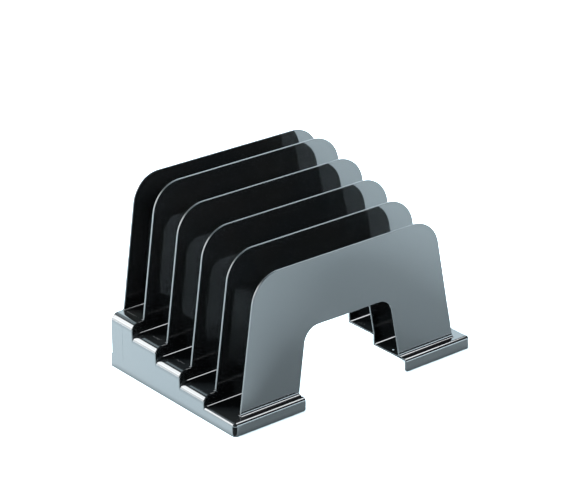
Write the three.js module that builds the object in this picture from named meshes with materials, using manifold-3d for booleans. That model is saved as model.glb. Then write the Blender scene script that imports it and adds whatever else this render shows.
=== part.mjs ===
// Desktop file sorter: six arched dividers standing on two stepped feet, five slots between them.
//
// Millimetres, +Z up. +X runs along the dividers, to the right of a person facing the sorter,
// and +Y runs to the rear. The origin is the middle of the sorter's own box, on the surface
// that it stands on.

import * as THREE from 'three';
import { mergeVertices } from 'three/addons/utils/BufferGeometryUtils.js';
import Module from 'manifold-3d';

const wasm = await Module();
wasm.setup();

// The whole sorter. Depths are measured rearward from the front face of the feet.
const WIDTH = 337;
const SHEET = 2.4; // thickness of every wall, floor and divider
const FRONT_LEDGE = 11; // front face of the feet to the first divider
const PITCH = 42.2; // divider to divider
const REAR_PITCH = 36.3; // the last slot is narrower
const FLOOR_1 = 15.2; // height of the front floor
const RISE = 12.35; // one floor to the next
const SLOT_COUNT = 5;
const LEAN = Math.tan(THREE.MathUtils.degToRad(2.4)); // the dividers and risers lean back

// A divider's outline, at floor level and at its own top.
const DIVIDER_HEIGHT = 149.4;
const OUTER_AT_FLOOR = 151.5;
const OUTER_AT_TOP = 125.7;
const OUTER_RADIUS = 36.7;
const ARCH_HEIGHT = 73;
const INNER_AT_FLOOR = 72;
const INNER_AT_ARCH = 59.8;
const ARCH_RADIUS = 20;

// The feet.
const FOOT_INNER_X = INNER_AT_FLOOR;
const FOOT_OUTER_X = WIDTH / 2;
const FRONT_EDGE_RADIUS = 4; // round edges of the lowest floor
const SIDE_EDGE_RADIUS = 10; // round outer edge of the other floors
const HEEL_DEPTH = 2.2; // ledge along the foot of the rear wall
const HEEL_HEIGHT = FLOOR_1;

// Each leg of a divider has tongues, half the sheet thick, that plug into the foot.
const TONGUE_WIDTH = 22;
const TONGUE_DEPTH = 6;
const TONGUE_CENTRES = [93, 131];
const TONGUE_CLEARANCE = 0.3;

const CURVE_STEPS = 10; // segments in a quarter circle
const CUT_MARGIN = 5; // how far a cutting body reaches past what it cuts

const slotIndices = Array.from({ length: SLOT_COUNT }, (_, index) => index);
const floorHeights = slotIndices.map((index) => FLOOR_1 + index * RISE);
const floorFronts = slotIndices.map((index) => FRONT_LEDGE + index * PITCH);
const topFloor = floorHeights[SLOT_COUNT - 1];
const rearDividerY = floorFronts[SLOT_COUNT - 1] + REAR_PITCH;
const rearWallY = rearDividerY + SHEET;
const boxDepth = rearWallY + DIVIDER_HEIGHT * LEAN;

function toManifold(geometry) {
  const bare = geometry.clone();
  bare.deleteAttribute('normal');
  bare.deleteAttribute('uv');
  const merged = mergeVertices(bare, 1e-4);
  const mesh = new wasm.Mesh({
    numProp: 3,
    vertProperties: new Float32Array(merged.attributes.position.array),
    triVerts: new Uint32Array(merged.index.array),
  });
  return new wasm.Manifold(mesh);
}

function toGeometry(manifold) {
  const mesh = manifold.getMesh();
  const geometry = new THREE.BufferGeometry();
  geometry.setAttribute('position', new THREE.BufferAttribute(mesh.vertProperties, 3));
  geometry.setIndex(new THREE.BufferAttribute(mesh.triVerts, 1));
  const faceted = geometry.toNonIndexed();
  faceted.computeVertexNormals();
  return faceted;
}

// A box given by its lowest and highest corners.
function block(low, high) {
  const size = high.map((value, axis) => value - low[axis]);
  const geometry = new THREE.BoxGeometry(...size);
  geometry.translate(...low.map((value, axis) => value + size[axis] / 2));
  return toManifold(geometry);
}

// A closed outline whose corners may be round: each corner is [u, v] or [u, v, radius].
function roundedShape(corners) {
  const shape = new THREE.Shape();
  corners.forEach(([u, v, radius = 0], index) => {
    const corner = new THREE.Vector2(u, v);
    const before = new THREE.Vector2(...corners.at(index - 1));
    const after = new THREE.Vector2(...corners[(index + 1) % corners.length]);
    const backward = before.sub(corner).normalize();
    const forward = after.sub(corner).normalize();
    const reach = radius / Math.tan(Math.acos(backward.dot(forward)) / 2);
    const start = corner.clone().addScaledVector(backward, reach);
    if (index === 0) shape.moveTo(start.x, start.y);
    else shape.lineTo(start.x, start.y);
    if (radius === 0) return;
    const middle = backward.clone().add(forward).normalize();
    const centre = corner.clone().addScaledVector(middle, Math.hypot(radius, reach));
    const end = corner.clone().addScaledVector(forward, reach);
    const startAngle = Math.atan2(start.y - centre.y, start.x - centre.x);
    const endAngle = Math.atan2(end.y - centre.y, end.x - centre.x);
    const turnsRight = backward.cross(forward) > 0;
    shape.absarc(centre.x, centre.y, radius, startAngle, endAngle, turnsRight);
  });
  shape.closePath();
  return shape;
}

// Extrusions of a shape drawn in the XZ, YZ or XY plane.
function alongY(shape, yFront, yBack) {
  const options = { depth: yBack - yFront, bevelEnabled: false, curveSegments: CURVE_STEPS };
  const geometry = new THREE.ExtrudeGeometry(shape, options);
  geometry.rotateX(Math.PI / 2);
  geometry.translate(0, yBack, 0);
  return geometry;
}

function alongX(shape, xLow, xHigh) {
  const options = { depth: xHigh - xLow, bevelEnabled: false, curveSegments: CURVE_STEPS };
  const geometry = new THREE.ExtrudeGeometry(shape, options);
  geometry.rotateX(Math.PI / 2);
  geometry.rotateZ(Math.PI / 2);
  geometry.translate(xLow, 0, 0);
  return geometry;
}

function alongZ(shape, zLow, zHigh) {
  const options = { depth: zHigh - zLow, bevelEnabled: false, curveSegments: CURVE_STEPS };
  const geometry = new THREE.ExtrudeGeometry(shape, options);
  geometry.translate(0, 0, zLow);
  return geometry;
}

// Keeps what lies behind the leaning plane that meets height z at depth y.
function behindRiser(body, y, z) {
  return body.trimByPlane([0, 1, -LEAN], (y - z * LEAN) / Math.hypot(1, LEAN));
}

// Leans a body back about the line at height z.
function leanBack(geometry, z) {
  geometry.translate(0, 0, -z);
  geometry.applyMatrix4(new THREE.Matrix4().makeShear(0, 0, 0, 0, 0, LEAN));
  geometry.translate(0, 0, z);
  return geometry;
}

// The right foot: one stepped block for each floor, then the same again, one sheet smaller,
// as the hollow underneath. The hollow is open at the bottom and towards the other foot.
function footBlock(index, inset) {
  const isFront = index === 0;
  const radius = (isFront ? FRONT_EDGE_RADIUS : SIDE_EDGE_RADIUS) - inset;
  const overrun = inset > 0 ? CUT_MARGIN : 0;
  const left = FOOT_INNER_X - overrun;
  const right = FOOT_OUTER_X - inset;
  const top = floorHeights[index] - inset;
  const section = roundedShape([[left, -overrun], [right, -overrun], [right, top, radius], [left, top]]);
  const back = rearWallY - inset;
  if (isFront) return toManifold(alongY(section, inset, back));
  const body = toManifold(alongY(section, floorFronts[index] - CUT_MARGIN, back));
  return behindRiser(body, floorFronts[index] + inset, floorHeights[index]);
}

// The lowest floor's front edge and front corner are round too.
function roundFront(body) {
  const nose = roundedShape([
    [0, 0],
    [rearWallY, 0],
    [rearWallY, FLOOR_1],
    [0, FLOOR_1, FRONT_EDGE_RADIUS],
  ]);
  const plan = roundedShape([
    [FOOT_INNER_X, 0],
    [FOOT_OUTER_X, 0, FRONT_EDGE_RADIUS],
    [FOOT_OUTER_X, rearWallY],
    [FOOT_INNER_X, rearWallY],
  ]);
  const noseBody = toManifold(alongX(nose, FOOT_INNER_X, FOOT_OUTER_X));
  const planBody = toManifold(alongZ(plan, 0, FLOOR_1));
  return body.intersect(noseBody).intersect(planBody);
}

// Where each divider stands: its front face, its floor, and the half of its thickness that
// its tongues continue. The rear divider's tongues are in front, inside the rear wall.
const seats = slotIndices.map((index) => ({
  y: floorFronts[index],
  z: floorHeights[index],
  tongueOffset: SHEET / 2,
}));
seats.push({ y: rearDividerY, z: topFloor, tongueOffset: 0 });

function tongueBody({ y, z, tongueOffset }, centreX, clearance) {
  const halfWidth = TONGUE_WIDTH / 2 + clearance;
  const low = z - TONGUE_DEPTH - clearance;
  const outline = roundedShape([
    [centreX - halfWidth, low],
    [centreX + halfWidth, low],
    [centreX + halfWidth, z + clearance],
    [centreX - halfWidth, z + clearance],
  ]);
  const front = y + tongueOffset + TONGUE_CLEARANCE / 2 - clearance / 2;
  const back = y + tongueOffset + SHEET / 2 + clearance / 2;
  return toManifold(leanBack(alongY(outline, front, back), z));
}

function makeRightFoot() {
  const outer = slotIndices.map((index) => footBlock(index, 0));
  outer[0] = roundFront(outer[0]);
  const hollows = slotIndices.map((index) => footBlock(index, SHEET));
  const heel = block(
    [FOOT_INNER_X, rearWallY - SHEET, 0],
    [FOOT_OUTER_X, rearWallY + HEEL_DEPTH, HEEL_HEIGHT],
  );
  const shell = wasm.Manifold.union(outer).subtract(wasm.Manifold.union(hollows)).add(heel);
  const sockets = seats.flatMap((seat) => (
    TONGUE_CENTRES.map((centreX) => tongueBody(seat, centreX, TONGUE_CLEARANCE))
  ));
  return shell.subtract(wasm.Manifold.union(sockets));
}

function makeDivider(seat) {
  const outline = roundedShape([
    [INNER_AT_FLOOR, 0],
    [OUTER_AT_FLOOR, 0],
    [OUTER_AT_TOP, DIVIDER_HEIGHT, OUTER_RADIUS],
    [-OUTER_AT_TOP, DIVIDER_HEIGHT, OUTER_RADIUS],
    [-OUTER_AT_FLOOR, 0],
    [-INNER_AT_FLOOR, 0],
    [-INNER_AT_ARCH, ARCH_HEIGHT, ARCH_RADIUS],
    [INNER_AT_ARCH, ARCH_HEIGHT, ARCH_RADIUS],
  ]);
  const sheet = alongY(outline, seat.y, seat.y + SHEET);
  sheet.translate(0, 0, seat.z);
  const rightTongues = TONGUE_CENTRES.map((centreX) => tongueBody(seat, centreX, 0));
  const leftTongues = rightTongues.map((tongue) => tongue.mirror([1, 0, 0]));
  const plate = toManifold(leanBack(sheet, seat.z));
  return wasm.Manifold.union([plate, ...rightTongues, ...leftTongues]);
}

const plasticFinish = { color: 0x0c0d0f, roughness: 0.12, metalness: 0 };

function namedMesh(name, manifold) {
  const centred = manifold.translate([0, -boxDepth / 2, 0]);
  const mesh = new THREE.Mesh(toGeometry(centred), new THREE.MeshStandardMaterial(plasticFinish));
  mesh.name = name;
  return mesh;
}

const sorter = new THREE.Group();
const rightFoot = makeRightFoot();
sorter.add(namedMesh('left_foot', rightFoot.mirror([1, 0, 0])));
sorter.add(namedMesh('right_foot', rightFoot));
seats.forEach((seat, index) => {
  sorter.add(namedMesh(`divider_${index + 1}`, makeDivider(seat)));
});

export default sorter;
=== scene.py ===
"""A glossy black desktop file sorter: six arched dividers standing on two stepped feet.

Lengths are metres in the frame's own axes: +X along the dividers, +Y to the rear, +Z up.
The frame's boxes give every position. Each foot and each divider is built again here, with
its round edges and fillets, and replaces its CAD node.
"""
import math

import bmesh
import bpy
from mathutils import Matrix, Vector


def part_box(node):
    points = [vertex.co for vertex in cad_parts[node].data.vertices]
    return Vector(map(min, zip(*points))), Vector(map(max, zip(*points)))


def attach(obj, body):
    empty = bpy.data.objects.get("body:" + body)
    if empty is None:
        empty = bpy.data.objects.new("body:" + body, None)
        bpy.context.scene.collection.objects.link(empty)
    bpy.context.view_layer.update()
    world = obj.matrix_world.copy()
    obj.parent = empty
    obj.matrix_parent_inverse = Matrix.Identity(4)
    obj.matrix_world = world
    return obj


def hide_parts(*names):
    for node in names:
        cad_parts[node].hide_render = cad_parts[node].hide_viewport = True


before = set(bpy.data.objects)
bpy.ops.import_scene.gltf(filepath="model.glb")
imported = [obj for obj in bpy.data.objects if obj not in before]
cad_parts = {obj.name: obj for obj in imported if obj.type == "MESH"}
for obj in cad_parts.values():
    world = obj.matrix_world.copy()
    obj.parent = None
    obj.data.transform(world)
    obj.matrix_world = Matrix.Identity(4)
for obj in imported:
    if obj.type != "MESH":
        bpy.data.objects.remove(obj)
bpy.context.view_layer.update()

MM = 0.001

# ---------------------------------------------------------------------------- sizes
SHEET = 2.4 * MM  # thickness of every wall, floor and divider
TONGUE_DEPTH = 6 * MM  # how far a divider's tongues reach below its floor
HEEL_DEPTH = 2.2 * MM  # ledge along the foot of the rear wall

OUTER_RADIUS = 36.7 * MM  # a divider's top corners
ARCH_RADIUS = 20 * MM
ARCH_HEIGHT = 73 * MM
TOP_HALF_WIDTH = 125.7 * MM  # where a divider's sides, prolonged, meet its top
ARCH_HALF_WIDTH = 59.8 * MM
DIVIDER_EDGE = 0.45 * MM  # round edge of a divider
RIM_FACING = 0.8  # faces of a divider that look less than this to front or rear are its rim
RIM_LAYER = "dull"  # the face attribute that marks a divider's rim for the material

NOSE_RADIUS = 4 * MM  # front, side and corner of the lowest floor
SIDE_RADIUS = 10 * MM  # outer edge of the other floors
RISER_EDGE = 1.0 * MM
RISER_FILLET = 2.8 * MM
FILLET_SHARE = 0.8  # the most that a riser's fillet takes of the width left beside it
RIM_EDGE = 0.25 * MM
RIM_CREASE = math.radians(40)  # a foot's rim is rounded where it turns by more than this
LIP_CORNER = 3 * MM  # lower inner corner of the front lip
GUARD = 1 * MM  # narrow strip that keeps a floor's shading even up to the riser behind it

FRONT_FILLET = 2.8 * MM  # cove in front of the first divider
BACK_FILLET = 2.2 * MM
END_FILLET = 1.2 * MM
FILLET_BACKING = SHEET / 5  # how far a leg's cove reaches into the leg
SINK = 1.5 * MM  # how far a leg and its fillets reach into the floor
PROUD = 0.02 * MM  # a leg that is flush with a wall covers its edge by this much

LINE_X = 151.5 * MM  # fine moulding lines, on the floors and near the rear of the outer wall
LINE_FROM_DIVIDER = 12 * MM
LINE_TO_RISER = 5 * MM
LINE_WIDTH = 0.5 * MM
LINE_HEIGHT = 0.12 * MM
# Share of a line's length, and of its width and height there.
LINE_TAPER = ((0, 0.1), (0.02, 0.7), (0.05, 1), (0.95, 1), (0.98, 0.7), (1, 0.1))
WALL_LINE_Y = 85 * MM
WALL_LINE_LOW = 13 * MM
WALL_LINE_HIGH = 56 * MM

GATE_INWARD = 5.6 * MM  # the moulding gate's dot, from a foot's inner edge
GATE_REARWARD = 27.4 * MM  # and from its front
GATE_RADIUS = 1.3 * MM
GATE_HEIGHT = 0.5 * MM
PIN_MARK_HEIGHT = 0.2 * MM
PIN_MARKS = (  # distance from the inner edge and from the front, radius, width of the line
    (7.1 * MM, 80.2 * MM, 2.5 * MM, 0.7 * MM),
    (5.7 * MM, 86.2 * MM, 0.6 * MM, 0.8 * MM),
)

FLOOR_COUNT = 5  # floors are counted from the front, and the frontmost is 0
FIRST_LINED_FLOOR = 2
PIN_MARKED_FLOOR = 1
BODY = "root"

# Sizes that the frame's boxes give.
first_low, first_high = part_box("divider_1")
foot_low, foot_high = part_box("right_foot")
DIVIDER_HEIGHT = first_high.z - first_low.z - TONGUE_DEPTH
LEAN = (first_high.y - first_low.y - SHEET) / DIVIDER_HEIGHT  # rearward for each unit of height
FLOOR_HALF_WIDTH = first_high.x
INNER_X, OUTER_X = foot_low.x, foot_high.x
FRONT_Y, HEEL_Y = foot_low.y, foot_high.y
REAR_Y = HEEL_Y - HEEL_DEPTH
WALL_INSIDE_X = OUTER_X - SHEET
LIP_INSIDE_Y = FRONT_Y + SHEET
REAR_INSIDE_Y = REAR_Y - SHEET
GATE_X, GATE_Y = INNER_X + GATE_INWARD, FRONT_Y + GATE_REARWARD


def seat_of(number):
    """Depth of a divider's front face at its floor, and the height of that floor."""
    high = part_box(f"divider_{number}")[1]
    return high.y - SHEET - DIVIDER_HEIGHT * LEAN, high.z - DIVIDER_HEIGHT


SEATS = [seat_of(number) for number in range(1, FLOOR_COUNT + 2)]
LOWEST_FLOOR_Z = SEATS[0][1]
HEEL_Z = LOWEST_FLOOR_Z


# ---------------------------------------------------------------------------- mesh tools
SAME_POINT = 1e-7  # neighbouring corners of a face that are closer than this are one
WELD_DISTANCE = 2e-6  # corners of different faces that are closer than this are joined
PLACE_TOLERANCE = 1e-6  # how exactly a rim lies in its plane
FACING_TOLERANCE = 1e-3  # how exactly a rim's normal points along its axis
CREASE = math.radians(50)  # edges that turn by more than this stay sharp in the shading


class Shell:
    """Collects faces given by their points, and joins points that coincide."""

    def __init__(self):
        self.bm = bmesh.new()

    def face(self, points):
        """Adds a face, or nothing if fewer than three of its points differ."""
        distinct = []
        for point in points:
            if not distinct or (Vector(point) - distinct[-1]).length > SAME_POINT:
                distinct.append(Vector(point))
        if (distinct[0] - distinct[-1]).length < SAME_POINT:
            distinct.pop()
        if len(distinct) >= 3:
            self.bm.faces.new([self.bm.verts.new(point) for point in distinct])

    def grid(self, rows):
        """Adds the faces between neighbouring rows of equally many points."""
        for row, following in zip(rows, rows[1:]):
            for column in range(len(row) - 1):
                self.face([row[column], row[column + 1], following[column + 1], following[column]])

    def weld(self):
        """Joins the faces along their common points and turns them all outward."""
        bmesh.ops.remove_doubles(self.bm, verts=self.bm.verts, dist=WELD_DISTANCE)
        bmesh.ops.recalc_face_normals(self.bm, faces=self.bm.faces)


def arc(turn, steps):
    """Angles from 0 to a turn, in equal steps."""
    return [turn * step / steps for step in range(steps + 1)]


def quarter(steps):
    """Angles of a quarter turn, from 0 to 90 degrees."""
    return arc(math.pi / 2, steps)


def round_edges(bm, edges, radius, segments):
    """Rounds edges of a mesh."""
    bmesh.ops.bevel(
        bm, geom=edges, offset=radius, segments=segments, profile=0.5,
        affect="EDGES", clamp_overlap=False,
    )


def close_tube(bm, rings, capped):
    """Skins a row of rings into a closed shell, with end caps or joined end to end."""
    faces = []
    pairs = list(zip(rings, rings[1:]))
    if not capped:
        pairs.append((rings[-1], rings[0]))
    for ring, following in pairs:
        for index in range(len(ring)):
            after = (index + 1) % len(ring)
            corners = [ring[index], ring[after], following[after], following[index]]
            faces.append(bm.faces.new(corners))
    if capped:
        faces.append(bm.faces.new(rings[0]))
        faces.append(bm.faces.new(rings[-1][::-1]))
    bmesh.ops.recalc_face_normals(bm, faces=faces)


def rounded_path(corners, steps):
    """A closed outline through corners (u, v, radius), with round corners as arcs."""
    points = []
    for index, (u, v, radius) in enumerate(corners):
        corner = Vector((u, v))
        if radius == 0:
            points.append(corner)
            continue
        before = Vector(corners[index - 1][:2])
        after = Vector(corners[(index + 1) % len(corners)][:2])
        backward = (before - corner).normalized()
        forward = (after - corner).normalized()
        half_angle = backward.angle(forward) / 2
        reach = radius / math.tan(half_angle)
        centre = corner + (backward + forward).normalized() * (radius / math.sin(half_angle))
        start = corner + backward * reach - centre
        end = corner + forward * reach - centre
        for angle in arc(-start.angle_signed(end), steps):
            turned = Vector((
                start.x * math.cos(angle) - start.y * math.sin(angle),
                start.x * math.sin(angle) + start.y * math.cos(angle),
            ))
            points.append(centre + turned)
    return points


def finish_piece(bm, name, node, material):
    """Makes the object, shades it smooth across its round edges, and puts it in the frame."""
    mesh = bpy.data.meshes.new(name)
    bm.to_mesh(mesh)
    bm.free()
    mesh.shade_smooth()
    mesh.set_sharp_from_angle(angle=CREASE)
    mesh.materials.append(material)
    piece = bpy.data.objects.new(name, mesh)
    bpy.context.collection.objects.link(piece)
    weighted = piece.modifiers.new("even_faces", "WEIGHTED_NORMAL")
    weighted.keep_sharp = True
    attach(piece, BODY)
    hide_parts(node)


# ---------------------------------------------------------------------------- feet
ARC_STEPS = 9  # along a floor's round outer edge, before the columns shared with the riser
EDGE_ANGLES = quarter(3)
LIP_ANGLES = quarter(4)
FILLET_ANGLES = quarter(6)
NOSE_ANGLES = quarter(10)


class Section:
    """A floor's cross-section, from its inner edge over its round outer edge to the wall.

    It gives the outline's points column by column. The last columns are placed so that they
    meet the round edge of the riser behind.
    """

    def __init__(self, index):
        self.height = SEATS[index][1]
        self.radius = NOSE_RADIUS if index == 0 else SIDE_RADIUS
        self.centre_x = OUTER_X - self.radius
        edge_share = RISER_EDGE / self.radius
        last_turns = [math.asin(1 - edge_share * (1 - math.sin(angle))) for angle in EDGE_ANGLES]
        first_turns = arc(last_turns[0], ARC_STEPS)[:-1]
        self.first_edge_column = 1 + ARC_STEPS
        self.columns = [(INNER_X, 0.0)] + [(None, turn) for turn in first_turns + last_turns]

    def point(self, column, offset=0.0):
        """X and Z of a column's point, moved outward by an offset."""
        flat_x, turn = self.columns[column]
        if flat_x is not None:
            return flat_x, self.height + offset
        reach = self.radius + offset
        x = self.centre_x + reach * math.sin(turn)
        return x, self.height - self.radius + reach * math.cos(turn)

    def lining(self, depth_at):
        """The section one sheet further in, where depth_at(z) is the depth at a height."""
        points = [self.point(column, -SHEET) for column in range(len(self.columns))]
        return [(x, depth_at(z), z) for x, z in points]


def riser_depth(index, z):
    """Depth of the leaning face that rises to a floor."""
    y, height = SEATS[index]
    return y + (z - height) * LEAN


def fillet_radius(section, column):
    """The fillet under a riser runs out where the floor curves down to the outer wall."""
    room = OUTER_X - RISER_EDGE - section.point(column)[0]
    return max(0.0, min(RISER_FILLET, FILLET_SHARE * room))


def convex_strip(section, angles, radius, depth_at):
    """The round edge of a face that ends a section: rows from the face to the floor.

    depth_at(z) is the face's depth; a positive radius goes rearward from it.
    """
    rows = []
    for angle in angles:
        row = []
        for column in range(len(section.columns)):
            x, z = section.point(column, -abs(radius) * (1 - math.sin(angle)))
            row.append((x, depth_at(z) + radius * (1 - math.cos(angle)), z))
        rows.append(row)
    return rows


def fillet_strip(section, index):
    """The concave edge between a floor and the riser behind it, floor side first."""
    rows = []
    for angle in FILLET_ANGLES:
        row = []
        for column in range(section.first_edge_column + 1):
            radius = fillet_radius(section, column)
            x, z = section.point(column, radius * (1 - math.cos(angle)))
            row.append((x, riser_depth(index, z) - radius * (1 - math.sin(angle)), z))
        rows.append(row)
    return rows


def rear_edge_of_floor(section, index):
    """Where a floor meets the riser behind it: the fillet, then the riser's round outer edge."""
    row = fillet_strip(section, index)[0]
    for step, angle in enumerate(EDGE_ANGLES[1:], start=1):
        x, z = section.point(section.first_edge_column + step)
        row.append((x, riser_depth(index, z) + RISER_EDGE * (1 - math.cos(angle)), z))
    return row


def upright_corner(depth, radius, angles, z):
    """A round vertical corner of the outer wall at one height; radius is negative at the rear."""
    return [
        (OUTER_X - abs(radius) * (1 - math.sin(angle)), depth + radius * (1 - math.cos(angle)), z)
        for angle in angles
    ]


def riser_corner(index, z):
    """A riser's round outer edge at one height, from its face to the outer wall."""
    return upright_corner(riser_depth(index, z), RISER_EDGE, EDGE_ANGLES, z)


def lip_edge(y):
    """The front lip's lower inner corner at one depth, from the table upward."""
    return [
        (INNER_X + LIP_CORNER * (1 - math.sin(angle)), y, LIP_CORNER * (1 - math.cos(angle)))
        for angle in LIP_ANGLES
    ]


def stands_on_table(face):
    """Whether a face is a foot's lower rim."""
    height = face.calc_center_median().z
    return abs(face.normal.z + 1) < FACING_TOLERANCE and abs(height) < PLACE_TOLERANCE


def faces_other_foot(face):
    """Whether a face is the right foot's rim towards the left one."""
    offset = face.calc_center_median().x - INNER_X
    return abs(face.normal.x + 1) < FACING_TOLERANCE and abs(offset) < PLACE_TOLERANCE


class Foot(Shell):
    """The right foot as one closed shell, added from the front lip to the rear wall.

    front_row is the front edge of the floor that comes next. The profiles gather the edges
    of the side faces: the inner edge of the upper skin and of its underside, and the top of
    the outer wall.
    """

    def __init__(self):
        super().__init__()
        self.sections = [Section(index) for index in range(FLOOR_COUNT)]
        self.front_row = []
        self.inner_profile = []
        self.under_profile = []
        self.wall_top = []

    def add_front_lip(self):
        """The lip's face, its round nose and its round vertical corner."""
        nose = convex_strip(self.sections[0], NOSE_ANGLES, NOSE_RADIUS, lambda z: FRONT_Y)
        self.grid(nose)
        nose_z = nose[0][-1][2]
        self.grid([
            upright_corner(FRONT_Y, NOSE_RADIUS, NOSE_ANGLES, 0.0),
            upright_corner(FRONT_Y, NOSE_RADIUS, NOSE_ANGLES, nose_z),
        ])
        lip_front = lip_edge(FRONT_Y)
        self.grid([lip_front, lip_edge(LIP_INSIDE_Y)])
        self.face(lip_front + nose[0] + [(OUTER_X - NOSE_RADIUS, FRONT_Y, 0.0)])
        self.inner_profile += [lip_front[-1]] + [row[0] for row in nose]
        self.wall_top += [(OUTER_X, FRONT_Y + NOSE_RADIUS, 0.0), nose[-1][-1]]
        self.front_row = nose[-1]

    def add_step(self, index):
        """A floor, and behind it the riser up to the floor with this index."""
        below, above = self.sections[index - 1], self.sections[index]
        back_row = rear_edge_of_floor(below, index)
        guard_row = [(x, y - GUARD, z) for x, y, z in back_row]
        self.grid([self.front_row, guard_row, back_row])

        fillet = fillet_strip(below, index)
        self.grid(fillet)
        edge = convex_strip(above, EDGE_ANGLES, RISER_EDGE, lambda z: riser_depth(index, z))
        self.grid(edge)
        self.face(edge[0] + fillet[-1][::-1])

        # The riser's outer edge goes down the wall and runs out on the floor below.
        edge_columns = range(below.first_edge_column, len(below.columns))
        levels = [below.point(column)[1] for column in edge_columns]
        corners = [riser_corner(index, z) for z in levels]
        self.grid([[row[-1] for row in edge], corners[0]])
        for step, (higher, lower) in enumerate(zip(corners, corners[1:])):
            self.face([higher[step], higher[step + 1], lower[step + 1]])
            self.grid([higher[step + 1:], lower[step + 1:]])

        self.inner_profile += [guard_row[0]] + [row[0] for row in fillet + edge]
        self.wall_top += [guard_row[-1], back_row[-1]]
        self.wall_top += [corner[-1] for corner in reversed(corners)]
        self.wall_top += [edge[-1][-1]]
        self.front_row = edge[-1]

    def add_rear_wall(self):
        """The rear floor, the wall behind it and the wall's heel ledge."""
        rear = convex_strip(self.sections[-1], EDGE_ANGLES, -RISER_EDGE, lambda z: REAR_Y)
        self.grid([self.front_row, rear[-1]])
        self.grid(rear)
        rear_top = [row[-1] for row in rear]
        rear_foot = upright_corner(REAR_Y, -RISER_EDGE, EDGE_ANGLES, HEEL_Z)
        heel_top = upright_corner(HEEL_Y, -RISER_EDGE, EDGE_ANGLES, HEEL_Z)
        heel_foot = upright_corner(HEEL_Y, -RISER_EDGE, EDGE_ANGLES, 0.0)
        inner_rear = (INNER_X, REAR_Y, HEEL_Z)
        inner_heel = (INNER_X, HEEL_Y, HEEL_Z)
        inner_foot = (INNER_X, HEEL_Y, 0.0)
        self.grid([rear_top, rear_foot])
        self.face(rear[0] + [rear_foot[0], inner_rear])
        self.face([inner_rear] + rear_foot + heel_top[::-1] + [inner_heel])
        self.grid([heel_top, heel_foot])
        self.face([inner_heel, heel_top[0], heel_foot[0], inner_foot])
        self.inner_profile += [row[0] for row in reversed(rear)]
        self.inner_profile += [inner_rear, inner_heel, inner_foot]
        self.wall_top += [rear_top[-1], rear_foot[-1], heel_top[-1], heel_foot[-1]]
        self.face(self.wall_top)

    def add_underside(self):
        """The hollow underneath: the same sections, one sheet further in."""
        start = self.sections[0].lining(lambda z: LIP_INSIDE_Y)
        self.face(lip_edge(LIP_INSIDE_Y) + start + [(WALL_INSIDE_X, LIP_INSIDE_Y, 0.0)])
        self.under_profile += [start[0]]
        wall_under = [(WALL_INSIDE_X, LIP_INSIDE_Y, 0.0), start[-1]]
        for index in range(1, FLOOR_COUNT):
            end, beginning = (
                section.lining(lambda z: riser_depth(index, z) + SHEET)
                for section in self.sections[index - 1:index + 1]
            )
            self.grid([start, end])
            self.face(beginning + end[::-1])
            self.under_profile += [end[0], beginning[0]]
            wall_under += [end[-1], beginning[-1]]
            start = beginning
        end = self.sections[-1].lining(lambda z: REAR_INSIDE_Y)
        self.grid([start, end])
        self.face(end + [(WALL_INSIDE_X, REAR_INSIDE_Y, 0.0), (INNER_X, REAR_INSIDE_Y, 0.0)])
        self.under_profile += [end[0], (INNER_X, REAR_INSIDE_Y, 0.0)]
        wall_under += [end[-1], (WALL_INSIDE_X, REAR_INSIDE_Y, 0.0)]
        self.face(wall_under)

    def add_rims(self):
        """The edge towards the other foot, and the edge that stands on the table."""
        lip_front, lip_back = lip_edge(FRONT_Y), lip_edge(LIP_INSIDE_Y)
        self.face(self.inner_profile + self.under_profile[::-1] + [lip_back[-1]])
        self.face(
            [lip_front[0]]
            + upright_corner(FRONT_Y, NOSE_RADIUS, NOSE_ANGLES, 0.0)
            + upright_corner(HEEL_Y, -RISER_EDGE, EDGE_ANGLES, 0.0)[::-1]
            + [(INNER_X, HEEL_Y, 0.0), (INNER_X, REAR_INSIDE_Y, 0.0)]
            + [(WALL_INSIDE_X, REAR_INSIDE_Y, 0.0), (WALL_INSIDE_X, LIP_INSIDE_Y, 0.0)]
            + [lip_back[0]]
        )

    def round_rims(self):
        """Rounds the edges of the two rims a little, so that they catch the light."""
        rims = [face for face in self.bm.faces if stands_on_table(face) or faces_other_foot(face)]
        edges = {edge for rim in rims for edge in rim.edges if edge.calc_face_angle() > RIM_CREASE}
        round_edges(self.bm, list(edges), RIM_EDGE, 2)


def build_foot():
    """The right foot's mesh, without its moulding marks."""
    foot = Foot()
    foot.add_front_lip()
    for index in range(1, FLOOR_COUNT):
        foot.add_step(index)
    foot.add_rear_wall()
    foot.add_underside()
    foot.add_rims()
    foot.weld()
    foot.round_rims()
    return foot.bm


# ---------------------------------------------------------------------------- moulding marks
LINE_ANGLES = arc(math.pi, 6)  # across a raised line
PIN_MARK_ANGLES = arc(2 * math.pi, 28)[:-1]
GATE_ANGLES = arc(2 * math.pi, 20)[:-1]
GATE_RISE = quarter(6)[:-1]


def add_ridge(bm, start, end, across, up):
    """A fine raised line on a face, round across and tapered at both ends."""
    start, end, across, up = Vector(start), Vector(end), Vector(across), Vector(up)
    drop = up * LINE_HEIGHT
    rings = []
    for share, scale in LINE_TAPER:
        centre = start.lerp(end, share)
        ring = []
        for angle in LINE_ANGLES:
            aside = scale * LINE_WIDTH / 2 * math.cos(angle)
            rise = scale * LINE_HEIGHT * math.sin(angle)
            ring.append(centre + across * aside + up * rise)
        ring += [ring[-1] - drop, ring[0] - drop]
        rings.append([bm.verts.new(point) for point in ring])
    close_tube(bm, rings, capped=True)


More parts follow.
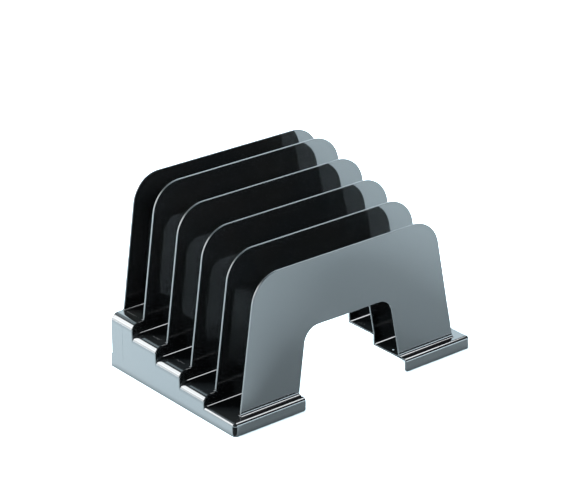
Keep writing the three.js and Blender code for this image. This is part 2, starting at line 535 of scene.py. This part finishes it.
def add_pin_mark(bm, x, y, z, radius, width):
    """The raised ring that a moulding pin leaves on a floor."""
    section = [
        (radius + width / 2 * math.cos(angle), PIN_MARK_HEIGHT * math.sin(angle))
        for angle in LINE_ANGLES
    ]
    section += [(section[-1][0], -PIN_MARK_HEIGHT), (section[0][0], -PIN_MARK_HEIGHT)]
    rings = [
        [
            bm.verts.new((x + reach * math.cos(angle), y + reach * math.sin(angle), z + up))
            for reach, up in section
        ]
        for angle in PIN_MARK_ANGLES
    ]
    close_tube(bm, rings, capped=False)


def add_gate_dot(bm):
    """The low dome left on the lowest floor where the mould was filled."""
    rings = []
    for rise in GATE_RISE:
        reach, up = GATE_RADIUS * math.cos(rise), GATE_HEIGHT * math.sin(rise)
        rings.append([
            bm.verts.new((
                GATE_X + reach * math.cos(angle),
                GATE_Y + reach * math.sin(angle),
                LOWEST_FLOOR_Z + up,
            ))
            for angle in GATE_ANGLES
        ])
    foot = [bm.verts.new(vert.co - Vector((0, 0, GATE_HEIGHT))) for vert in rings[0]]
    close_tube(bm, [foot] + rings, capped=True)


def add_marks(bm):
    """The faint lines, the gate dot and the pin marks that the mould left on a foot."""
    for index in range(FIRST_LINED_FLOOR, FLOOR_COUNT):
        start_y = SEATS[index][0] + LINE_FROM_DIVIDER
        end_y = SEATS[index + 1][0] - LINE_TO_RISER
        z = SEATS[index][1]
        add_ridge(bm, (LINE_X, start_y, z), (LINE_X, end_y, z), across=(1, 0, 0), up=(0, 0, 1))
    wall_low = (OUTER_X, WALL_LINE_Y, WALL_LINE_LOW)
    wall_high = (OUTER_X, WALL_LINE_Y, WALL_LINE_HIGH)
    add_ridge(bm, wall_low, wall_high, across=(0, 1, 0), up=(1, 0, 0))
    add_gate_dot(bm)
    for inward, rearward, radius, width in PIN_MARKS:
        z = SEATS[PIN_MARKED_FLOOR][1]
        add_pin_mark(bm, INNER_X + inward, FRONT_Y + rearward, z, radius, width)


# ---------------------------------------------------------------------------- dividers
CORNER_STEPS = 18
COVE_ANGLES = quarter(8)


def divider_outline():
    """A divider as seen from the front, with its legs reaching into the floor."""
    outer_taper = (FLOOR_HALF_WIDTH - TOP_HALF_WIDTH) / DIVIDER_HEIGHT
    inner_taper = (INNER_X - ARCH_HALF_WIDTH) / ARCH_HEIGHT
    outer_x = FLOOR_HALF_WIDTH + SINK * outer_taper
    inner_x = INNER_X + SINK * inner_taper
    return rounded_path([
        (inner_x, -SINK, 0),
        (outer_x, -SINK, 0),
        (TOP_HALF_WIDTH, DIVIDER_HEIGHT, OUTER_RADIUS),
        (-TOP_HALF_WIDTH, DIVIDER_HEIGHT, OUTER_RADIUS),
        (-outer_x, -SINK, 0),
        (-inner_x, -SINK, 0),
        (-ARCH_HALF_WIDTH, ARCH_HEIGHT, ARCH_RADIUS),
        (ARCH_HALF_WIDTH, ARCH_HEIGHT, ARCH_RADIUS),
    ], CORNER_STEPS)


def build_sheet(front, back):
    """An upright divider sheet between two depths, with round edges and its rim marked."""
    bm = bmesh.new()
    outline = divider_outline()
    front_verts = [bm.verts.new((u, front, v)) for u, v in outline]
    back_verts = [bm.verts.new((u, back, v)) for u, v in outline]
    bm.faces.new(front_verts)
    bm.faces.new(back_verts[::-1])
    for index in range(len(outline)):
        after = (index + 1) % len(outline)
        corners = [front_verts[after], front_verts[index], back_verts[index], back_verts[after]]
        bm.faces.new(corners)
    bmesh.ops.recalc_face_normals(bm, faces=bm.faces)
    edges = [
        edge for edge in bm.edges
        if abs(edge.verts[0].co.y - edge.verts[1].co.y) < SAME_POINT
        and max(vert.co.z for vert in edge.verts) > PLACE_TOLERANCE - SINK
    ]
    round_edges(bm, edges, DIVIDER_EDGE, 3)
    rim = bm.faces.layers.float.new(RIM_LAYER)
    bm.normal_update()
    for face in bm.faces:
        face[rim] = 1.0 if abs(face.normal.y) < RIM_FACING else 0.0
    return bm


def turning_radius(long_radius, heading):
    """A cove's radius round a leg's corner, from END_FILLET at the side to long_radius."""
    share = 0.5 - 0.5 * math.cos(2 * math.radians(heading))
    return END_FILLET + (long_radius - END_FILLET) * share


def cove_stops(flush_front, flush_back, front_radius):
    """The cross-sections of a leg's cove: x, y, heading, radius.

    The cove goes round the leg's outer side, from the front to the rear. Its heading is the
    way it faces: -90 degrees to the front, 0 to the side, 90 to the rear. Where the leg is
    flush with a wall, it has no cove on that side. From a flush front it widens gradually.
    """
    x = FLOOR_HALF_WIDTH
    stops = []
    if flush_front:
        stops += [(x, 0.0, 0, 0.2 * END_FILLET), (x, RISER_EDGE / 2, 0, 0.8 * END_FILLET)]
    else:
        stops += [(INNER_X, 0.0, -90, front_radius), (x, 0.0, -90, front_radius)]
        turns = [(heading, turning_radius(front_radius, heading)) for heading in range(-75, 0, 15)]
        stops += [(x, 0.0, heading, radius) for heading, radius in turns]
    stops += [(x, RISER_EDGE, 0, END_FILLET), (x, SHEET, 0, END_FILLET)]
    if not flush_back:
        turns = [(heading, turning_radius(BACK_FILLET, heading)) for heading in range(15, 90, 15)]
        stops += [(x, SHEET, heading, radius) for heading, radius in turns]
        stops += [(x, SHEET, 90, BACK_FILLET), (INNER_X, SHEET, 90, BACK_FILLET)]
    return stops


def add_cove(bm, side, stops):
    """Adds the cove between a leg and its floor, as a closed bar that goes round the leg."""
    rings = []
    for x, y, heading, radius in stops:
        out_x = math.cos(math.radians(heading))
        out_y = math.sin(math.radians(heading))
        section = [
            (radius * (1 - math.sin(angle)), radius * (1 - math.cos(angle)))
            for angle in COVE_ANGLES
        ]
        section += [(-FILLET_BACKING, radius), (-FILLET_BACKING, -SINK), (radius, -SINK)]
        rings.append([
            bm.verts.new((side * (x + out * out_x), y + out * out_y, up)) for out, up in section
        ])
    close_tube(bm, rings, capped=True)


def build_divider(number):
    """A divider's sheet with round edges, its lean, and the coves round its legs."""
    flush_front = 1 < number <= FLOOR_COUNT
    flush_back = number == FLOOR_COUNT + 1
    front = -PROUD if flush_front else 0.0
    back = SHEET + (PROUD if flush_back else 0.0)
    front_radius = FRONT_FILLET if number == 1 else BACK_FILLET
    bm = build_sheet(front, back)
    stops = cove_stops(flush_front, flush_back, front_radius)
    for side in (-1, 1):
        add_cove(bm, side, stops)
    y, z = SEATS[number - 1]
    for vert in bm.verts:
        vert.co.y += y + vert.co.z * LEAN
        vert.co.z += z
    return bm


# ---------------------------------------------------------------------------- materials
PLASTIC_IOR = 1.59
WARM_BLACK = (0.0036, 0.0033, 0.0031, 1)
COOL_BLACK = (0.0028, 0.0029, 0.0030, 1)
WHITENED = (0.34, 0.34, 0.34, 1)
WHITE_CORE = 0.8  # share of the gate dot's radius that is fully whitened

POLISH_LOW, POLISH_HIGH = 0.040, 0.065  # this and the next three lines are roughness
HAZE = 0.035
TABLE_WEAR_LOW, TABLE_WEAR_HIGH = 0.02, 0.25
RIM_DULLNESS = 0.30
TABLE_WEAR_HEIGHT = 4 * MM  # wear from the table reaches this high

WAVE_DEPTH = 0.04 * MM
SCRATCH_DEPTH = 0.004 * MM
NICK_DEPTH = 0.03 * MM
SCRATCH_TURN = (0.3, 0.5, 0.7)  # keeps the noise's own grid off the object's axes
SCRATCH_STRETCH = (12, 900, 60)  # noise cells for each metre along X, Y and Z

BOARD_ROUGHNESS = 0.9
BOARD_LOW = (0.88, 0.88, 0.88, 1)
BOARD_HIGH = (0.90, 0.90, 0.90, 1)
# colour of the painted contact shadow, strongest where a foot touches the table
PAINTED_CONTACT_SHADOW = (0.10, 0.10, 0.10, 1)
PAINTED_SHADOW_REACH = 8 * MM  # how far from the feet the painted contact shadow reaches on the table
PAINTED_SHADOW_FALLOFF = 1.2


class Surface:
    """A material under construction, with short names for the nodes that it uses."""

    def __init__(self, name):
        self.material = bpy.data.materials.new(name)
        self.material.use_nodes = True
        self.nodes = self.material.node_tree.nodes
        self.links = self.material.node_tree.links
        self.shader = self.nodes["Principled BSDF"]
        self.coordinates = self.nodes.new("ShaderNodeTexCoord").outputs

    def feed(self, value, socket):
        """Gives a socket a constant, or the output of another node."""
        if isinstance(value, bpy.types.NodeSocket):
            self.links.new(value, socket)
        else:
            socket.default_value = value

    def noise(self, scale, detail=2.0, roughness=0.5, vector=None):
        """Noise over the object's own coordinates or a given vector, scale cells to the unit."""
        node = self.nodes.new("ShaderNodeTexNoise")
        node.inputs["Scale"].default_value = scale
        node.inputs["Detail"].default_value = detail
        node.inputs["Roughness"].default_value = roughness
        self.links.new(vector or self.coordinates["Object"], node.inputs["Vector"])
        return node.outputs["Fac"]

    def ramp(self, source, low, high, start=0.35, end=0.65):
        """Goes from low to high while its source goes from start to end."""
        node = self.nodes.new("ShaderNodeMapRange")
        node.inputs["From Min"].default_value = start
        node.inputs["From Max"].default_value = end
        node.inputs["To Min"].default_value = low
        node.inputs["To Max"].default_value = high
        self.links.new(source, node.inputs["Value"])
        return node.outputs["Result"]

    def combine(self, operation, first, second):
        """A sum, product or power of two values."""
        node = self.nodes.new("ShaderNodeMath")
        node.operation = operation
        self.feed(first, node.inputs[0])
        self.feed(second, node.inputs[1])
        return node.outputs["Value"]

    def vector_math(self, operation, *vectors):
        """The node of an operation on vectors, each one a constant or an output."""
        node = self.nodes.new("ShaderNodeVectorMath")
        node.operation = operation
        for vector, socket in zip(vectors, node.inputs):
            self.feed(vector, socket)
        return node

    def mix(self, factor, first, second):
        """A blend of two colours."""
        node = self.nodes.new("ShaderNodeMix")
        node.data_type = "RGBA"
        self.feed(factor, node.inputs["Factor"])
        self.feed(first, node.inputs["A"])
        self.feed(second, node.inputs["B"])
        return node.outputs["Result"]

    def emboss(self, height, depth, normal=None):
        """A normal with relief on it; a negative depth cuts in."""
        node = self.nodes.new("ShaderNodeBump")
        node.invert = depth < 0
        node.inputs["Strength"].default_value = 1.0
        node.inputs["Distance"].default_value = abs(depth)
        self.links.new(height, node.inputs["Height"])
        if normal is not None:
            self.links.new(normal, node.inputs["Normal"])
        return node.outputs["Normal"]


def whiten_gates(surface, colour):
    """Stress-whitens the plastic where the gate was broken off, on both feet alike.

    The distance is measured without signs. In depth the spot's mirror image falls in the
    hollow under the rear floor, where there is no plastic.
    """
    unsigned = surface.vector_math("ABSOLUTE", surface.coordinates["Object"])
    gate = (GATE_X, abs(GATE_Y), LOWEST_FLOOR_Z)
    distance = surface.vector_math("DISTANCE", unsigned.outputs["Vector"], gate).outputs["Value"]
    whitened = surface.ramp(distance, 1, 0, start=WHITE_CORE * GATE_RADIUS, end=GATE_RADIUS)
    return surface.mix(whitened, colour, WHITENED)


def plastic_roughness(surface, near_table):
    """Polished, with patches of handling haze, and dulled near the table and on the rims."""
    polish = surface.ramp(surface.noise(90, detail=4), POLISH_LOW, POLISH_HIGH)
    haze = surface.ramp(surface.noise(9, detail=5, roughness=0.65), 0, HAZE, start=0.5, end=0.72)
    patches = surface.ramp(
        surface.noise(160, detail=5, roughness=0.7), TABLE_WEAR_LOW, TABLE_WEAR_HIGH,
        start=0.4, end=0.7,
    )
    worn = surface.combine("MULTIPLY", near_table, patches)
    rim = surface.nodes.new("ShaderNodeAttribute")
    rim.attribute_name = RIM_LAYER
    rim_dullness = surface.ramp(rim.outputs["Fac"], 0, RIM_DULLNESS, start=0, end=1)
    glossy = surface.combine("ADD", polish, haze)
    return surface.combine("ADD", glossy, surface.combine("ADD", worn, rim_dullness))


def plastic_relief(surface, near_table):
    """The mould's slow waves, sparse hairline scratches, and nicks near the table."""
    stretch = surface.nodes.new("ShaderNodeMapping")
    stretch.inputs["Rotation"].default_value = SCRATCH_TURN
    stretch.inputs["Scale"].default_value = SCRATCH_STRETCH
    surface.links.new(surface.coordinates["Object"], stretch.inputs["Vector"])
    streaks = surface.noise(1.0, detail=1.0, vector=stretch.outputs["Vector"])
    scratches = surface.combine(
        "MULTIPLY",
        surface.ramp(streaks, 0, 1, start=0.70, end=0.74),
        surface.ramp(surface.noise(25), 0, 1),
    )
    chips = surface.ramp(surface.noise(420, detail=3), 0, 1, start=0.58, end=0.66)
    nicks = surface.combine("MULTIPLY", near_table, chips)
    wavy = surface.emboss(surface.noise(28, detail=1.0), WAVE_DEPTH)
    scratched = surface.emboss(scratches, -SCRATCH_DEPTH, wavy)
    return surface.emboss(nicks, -NICK_DEPTH, scratched)


def gloss_black_plastic():
    """Polished black polystyrene: near-black, mirror-like, with faint waves and fine wear."""
    surface = Surface("gloss_black_plastic")
    position = surface.nodes.new("ShaderNodeSeparateXYZ")
    surface.links.new(surface.coordinates["Object"], position.inputs["Vector"])
    near_table = surface.ramp(position.outputs["Z"], 1, 0, start=0, end=TABLE_WEAR_HEIGHT)
    black = surface.mix(surface.ramp(surface.noise(14), 0, 1), WARM_BLACK, COOL_BLACK)
    sockets = surface.shader.inputs
    sockets["IOR"].default_value = PLASTIC_IOR
    surface.feed(whiten_gates(surface, black), sockets["Base Color"])
    surface.feed(plastic_roughness(surface, near_table), sockets["Roughness"])
    surface.feed(plastic_relief(surface, near_table), sockets["Normal"])
    return surface.material


def pale_floor_material():
    """Matt white board, painted a little darker right beside whatever stands on it, as a painted
    contact shadow.
    """
    surface = Surface("pale_floor")
    grain = surface.noise(3.0, vector=surface.coordinates["Generated"])
    white = surface.mix(grain, BOARD_LOW, BOARD_HIGH)
    # painted shadow: ambient occlusion near the feet darkens the board's colour towards the
    # painted shadow colour
    painted_shadow_occlusion = surface.nodes.new("ShaderNodeAmbientOcclusion")
    painted_shadow_occlusion.inputs["Distance"].default_value = PAINTED_SHADOW_REACH
    openness = surface.combine("POWER", painted_shadow_occlusion.outputs["AO"], PAINTED_SHADOW_FALLOFF)
    sockets = surface.shader.inputs
    sockets["Roughness"].default_value = BOARD_ROUGHNESS
    surface.feed(surface.mix(openness, PAINTED_CONTACT_SHADOW, white), sockets["Base Color"])
    return surface.material


# ---------------------------------------------------------------------------- object
plastic = gloss_black_plastic()
for name, side in (("right_foot", 1), ("left_foot", -1)):
    foot = build_foot()
    add_marks(foot)
    if side < 0:
        for vert in foot.verts:
            vert.co.x = -vert.co.x
        bmesh.ops.reverse_faces(foot, faces=foot.faces)
    finish_piece(foot, f"{name}_shell", name, plastic)
for number in range(1, len(SEATS) + 1):
    finish_piece(build_divider(number), f"divider_{number}_sheet", f"divider_{number}", plastic)


# ---------------------------------------------------------------------------- studio
CAMERA_AZIMUTH = 219.58  # like every azimuth here, in degrees from the rear towards the right
CAMERA_ELEVATION = 23.58
CAMERA_DISTANCE = 2.5658
CAMERA_TARGET = Vector((0.0026, 0.0042, 0.1269))
CAMERA_LENS = 145.16
SENSOR_WIDTH = 36  # millimetres, like the lens

FLOOR_HALF_SIZE = 4.0
ROOM_GLOW = (0.19, 0.23, 0.25, 1)
BACKDROP = (1.0, 1.0, 1.0, 1)
BLACK = (0, 0, 0, 1)

CARD_ALONG = Vector((0.637, -0.771))  # the way the card's long side runs on the floor
CARD_AWAY = Vector((-0.771, -0.637))  # square to it, away from the foot
CARD_REACH = 28 * MM  # the card's width, and half its length
CARD_LIFT = 0.5 * MM

LIGHT_TARGET = (0, 0, 0.05)
COOL_WHITE = (0.74, 0.91, 1.0)
WINDOW_WHITE = (0.95, 0.98, 1.0)

# name, azimuth, elevation, distance, (width, height), brightness, colour
REFLECTED_SOFTBOXES = [
    ("rear_left_window", -36, 27, 3.0, (1.9, 1.15), 13.5, WINDOW_WHITE),
    ("rear_left_low_window", -44, 8, 3.0, (1.6, 1.1), 9.5, WINDOW_WHITE),
    ("rear_ceiling", 14, 43, 3.0, (2.2, 0.9), 1.7, COOL_WHITE),
    ("rear_right_backdrop", 40, 22, 4.0, (3.0, 2.3), 4.1, COOL_WHITE),
    ("right_ceiling", 97, 55.2, 2.2, (1.05, 0.55), 15, WINDOW_WHITE),
    ("front_right_window", 142, 6, 4.0, (2.4, 0.9), 15, COOL_WHITE),
]
FLOOR_SOFTBOXES = [
    ("rear_key", -22, 20, 9.0, (2.0, 1.6), 550, COOL_WHITE),
    ("rear_left_key", -46, 13, 9.0, (2.0, 1.6), 830, COOL_WHITE),
    ("right_fill", 132, 30, 1.6, (0.6, 0.5), 72, COOL_WHITE),
    ("rear_fill", 0, 45, 5.0, (2.0, 2.0), 16, COOL_WHITE),
    ("front_fill", 160, 45, 5.0, (2.0, 2.0), 8, COOL_WHITE),
    ("left_fill", -102, 35, 0.8, (0.3, 0.3), 16, COOL_WHITE),
]


def direction(azimuth, elevation):
    """The direction at an azimuth from the rear towards the right and an elevation, in degrees."""
    turn, rise = math.radians(azimuth), math.radians(elevation)
    return Vector((
        math.sin(turn) * math.cos(rise), math.cos(turn) * math.cos(rise), math.sin(rise),
    ))


def aim(thing, target):
    """Turns a camera or light towards a point."""
    sight = Vector(target) - thing.location
    thing.rotation_euler = sight.to_track_quat("-Z", "Y").to_euler()


def add_camera():
    """The photograph's view: from the front left, a little above, through a long lens."""
    data = bpy.data.cameras.new("camera")
    data.sensor_width = SENSOR_WIDTH
    data.lens = CAMERA_LENS
    camera = bpy.data.objects.new("camera", data)
    bpy.context.collection.objects.link(camera)
    sight = direction(CAMERA_AZIMUTH, CAMERA_ELEVATION)
    camera.location = CAMERA_TARGET + CAMERA_DISTANCE * sight
    aim(camera, CAMERA_TARGET)
    bpy.context.scene.camera = camera


def add_softbox(name, azimuth, elevation, distance, size, radiance, colour, seen_in_gloss):
    """A rectangular softbox of even brightness, aimed at the object.

    A box either shows in the plastic's reflections or lights the floor, so that each can
    be set by itself.
    """
    width, height = size
    data = bpy.data.lights.new(name, "AREA")
    data.shape = "RECTANGLE"
    data.size, data.size_y = width, height
    data.energy = radiance * math.pi * width * height
    data.color = colour
    light = bpy.data.objects.new(name, data)
    light.location = distance * direction(azimuth, elevation)
    light.visible_camera = False
    light.visible_glossy = seen_in_gloss
    light.visible_diffuse = not seen_in_gloss
    bpy.context.collection.objects.link(light)
    aim(light, LIGHT_TARGET)


def add_flat_quad(name, corners, material):
    """A single four-cornered face."""
    mesh = bpy.data.meshes.new(name)
    mesh.from_pydata(corners, [], [(0, 1, 2, 3)])
    mesh.materials.append(material)
    quad = bpy.data.objects.new(name, mesh)
    bpy.context.collection.objects.link(quad)
    return quad


def add_floor():
    """The pale table that the sorter stands on."""
    half = FLOOR_HALF_SIZE
    corners = [(-half, -half, 0), (half, -half, 0), (half, half, 0), (-half, half, 0)]
    floor = add_flat_quad("floor", corners, pale_floor_material())


def add_black_card():
    """A black card on the floor at the front left corner, which only reflections show."""
    surface = Surface("black_card")
    surface.shader.inputs["Base Color"].default_value = BLACK
    corner = Vector((-OUTER_X, FRONT_Y))
    along, away = CARD_ALONG * CARD_REACH, CARD_AWAY * CARD_REACH
    outline = [corner - along, corner + along, corner + along + away, corner - along + away]
    corners = [(x, y, CARD_LIFT) for x, y in outline]
    card = add_flat_quad("black_card", corners, surface.material)
    card.visible_camera = False
    card.visible_diffuse = False
    card.visible_shadow = False


def add_world():
    """A dim, cool room for the light that the softboxes leave out, behind a white backdrop."""
    world = bpy.data.worlds.new("studio")
    world.use_nodes = True
    nodes, links = world.node_tree.nodes, world.node_tree.links
    path = nodes.new("ShaderNodeLightPath")
    mix = nodes.new("ShaderNodeMix")
    mix.data_type = "RGBA"
    mix.inputs["A"].default_value = ROOM_GLOW
    mix.inputs["B"].default_value = BACKDROP
    links.new(path.outputs["Is Camera Ray"], mix.inputs["Factor"])
    links.new(mix.outputs["Result"], nodes["Background"].inputs["Color"])
    bpy.context.scene.world = world


add_camera()
add_floor()
add_world()
add_black_card()
for softbox in REFLECTED_SOFTBOXES:
    add_softbox(*softbox, seen_in_gloss=True)
for softbox in FLOOR_SOFTBOXES:
    add_softbox(*softbox, seen_in_gloss=False)

bpy.context.scene.view_settings.view_transform = "Standard"
